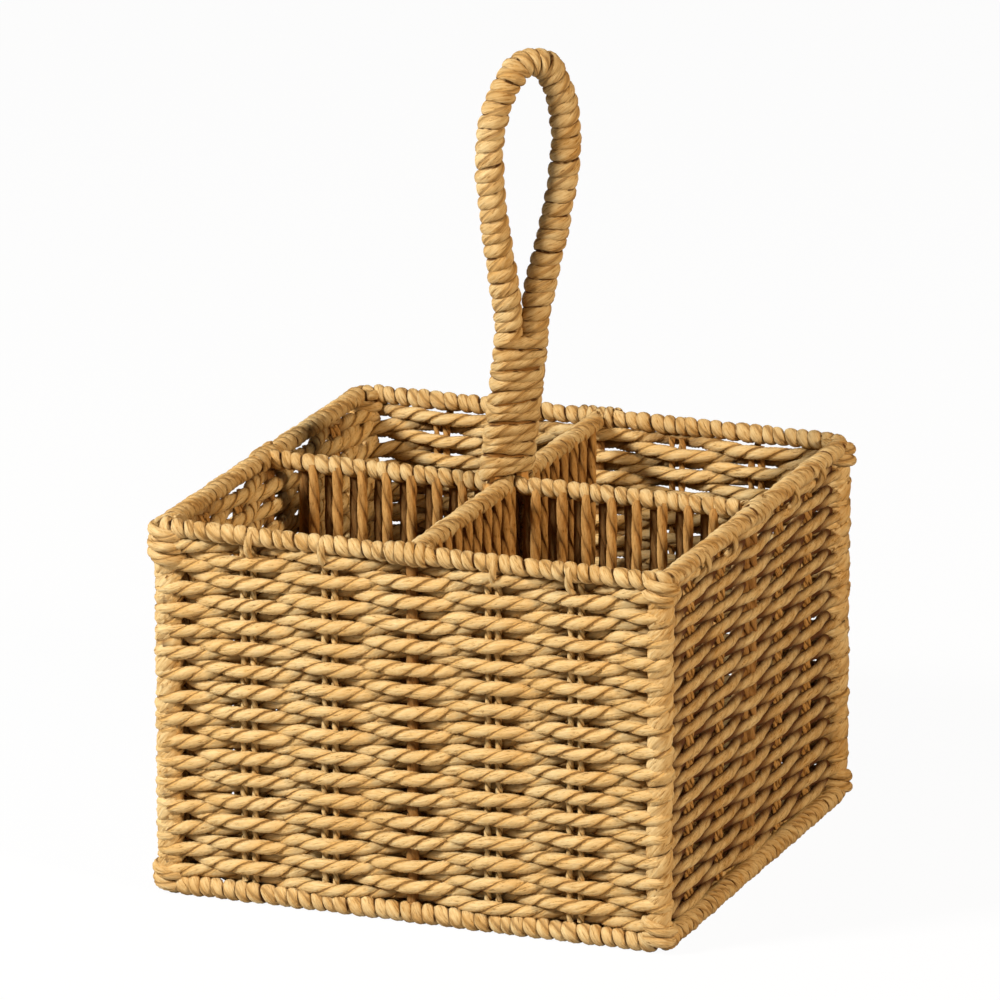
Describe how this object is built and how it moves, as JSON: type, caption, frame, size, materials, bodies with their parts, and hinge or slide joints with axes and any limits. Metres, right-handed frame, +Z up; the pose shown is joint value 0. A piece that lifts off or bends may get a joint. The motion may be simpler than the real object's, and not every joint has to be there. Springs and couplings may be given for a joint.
{
  "type": "utensil caddy",
  "caption": "Square open caddy of woven paper rope on a wire frame, with string dividers and a wrapped loop handle, for carrying cutlery and napkins.",
  "frame": {"origin": "on the floor under the middle of the caddy", "axes": "+Z up, +X to the right along the front wall, +Y towards the back wall"},
  "size_m": [0.2188, 0.2188, 0.3251],
  "materials": {
    "woven_rope": "twisted two-strand paper rope, matt",
    "rim_winding": "paper rope wound closely round a wire, matt",
    "handle_winding": "paper rope wound closely round a wire, matt",
    "divider_string": "twisted paper string, matt",
    "stake_cord": "twisted paper cord, matt",
    "painted_wire": "tan paint, satin"
  },
  "bodies": {
    "root": {"base_rim_wire": "painted_wire", "base_warps": "stake_cord", "base_weave": "woven_rope", "base_winding_back": "rim_winding", "base_winding_front": "rim_winding", "base_winding_left": "rim_winding", "base_winding_right": "rim_winding", "base_wire_across": "painted_wire", "base_wire_long": "painted_wire", "corner_post_back_left": "painted_wire", "corner_post_back_right": "painted_wire", "corner_post_front_left": "painted_wire", "corner_post_front_right": "painted_wire", "divider_strings_back": "divider_string", "divider_strings_front": "divider_string", "divider_strings_left": "divider_string", "divider_strings_right": "divider_string", "divider_winding_back": "rim_winding", "divider_winding_front": "rim_winding", "divider_winding_left": "rim_winding", "divider_winding_right": "rim_winding", "divider_wire_left": "painted_wire", "divider_wire_long": "painted_wire", "divider_wire_right": "painted_wire", "handle_wire": "painted_wire", "loop_winding": "handle_winding", "rim_winding_back": "rim_winding", "rim_winding_front": "rim_winding", "rim_winding_left": "rim_winding", "rim_winding_right": "rim_winding", "stakes_back": "stake_cord", "stakes_front": "stake_cord", "stakes_left": "stake_cord", "stakes_right": "stake_cord", "stem_winding": "handle_winding", "top_rim_wire": "painted_wire", "wall_stay_back": "painted_wire", "wall_stay_front": "painted_wire", "wall_stay_left": "painted_wire", "wall_stay_right": "painted_wire", "weave_back": "woven_rope", "weave_front": "woven_rope", "weave_left": "woven_rope", "weave_right": "woven_rope"}
  },
  "joints": []
}
